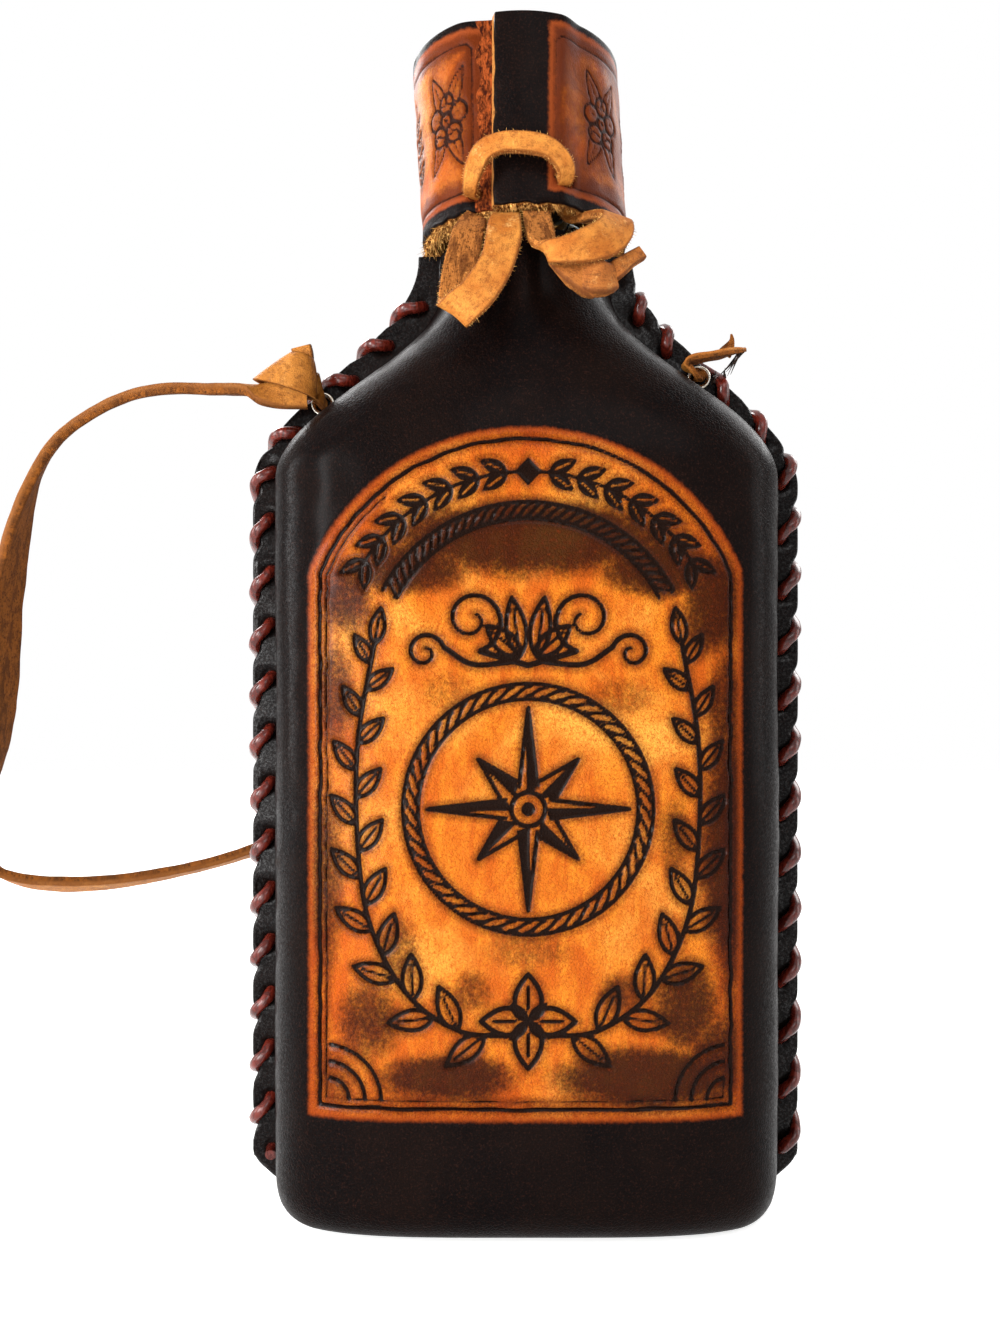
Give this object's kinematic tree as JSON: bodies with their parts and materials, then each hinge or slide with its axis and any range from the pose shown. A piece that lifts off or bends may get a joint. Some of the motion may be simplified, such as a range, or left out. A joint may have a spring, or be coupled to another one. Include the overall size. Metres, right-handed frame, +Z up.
{
  "type": "leather_wrapped_pocket_flask",
  "caption": "Flat glass pocket flask in a wet-moulded black leather cover, laced down both sides, with an orange tooled front panel, leather-sleeved screw cap, thong tie and a carrying strap.",
  "frame": {"origin": "middle of the base that the flask stands on", "axes": "+Z up through the bottle's neck, +Y towards the plain back, so the tooled front faces -Y; +X to the right of the front"},
  "size_m": [0.1677, 0.0634, 0.2132],
  "materials": {
    "clear_glass": "clear, polished",
    "dark_leather": "black-brown dyed, satin",
    "orange_leather": "orange dyed, tooled, glossy",
    "light_leather": "natural vegetable tanned, matt",
    "tan_leather": "tan, matt, frayed edge",
    "red_brown_lace": "waxed round lace, glossy",
    "nickel": "nickel plated",
    "black_plastic": "moulded",
    "white_wad": "foam wad"
  },
  "bodies": {
    "flask": {"glass_bottle": "clear_glass", "leather_cover": "dark_leather", "left_lace": "red_brown_lace", "right_lace": "red_brown_lace", "left_eyelet": "nickel", "right_eyelet": "nickel", "carrying_strap": "tan_leather"},
    "liner": {"cap_liner": "white_wad"},
    "cap": {"screw_cap": "black_plastic", "cap_top_disc": "dark_leather", "cap_sleeve": "orange_leather", "cap_thong": "light_leather"}
  },
  "joints": [
    {"name": "cap_lift", "type": "slide", "parent": "flask", "child": "liner", "axis": [0, 0, 1], "range_m": [0, 0.04]},
    {"name": "cap_turn", "type": "hinge", "parent": "liner", "child": "cap", "pos_m": [0, 0, 0.2063], "axis": [0, 0, 1], "range_deg": [0, 540], "deforming": ["cap_thong"]}
  ]
}
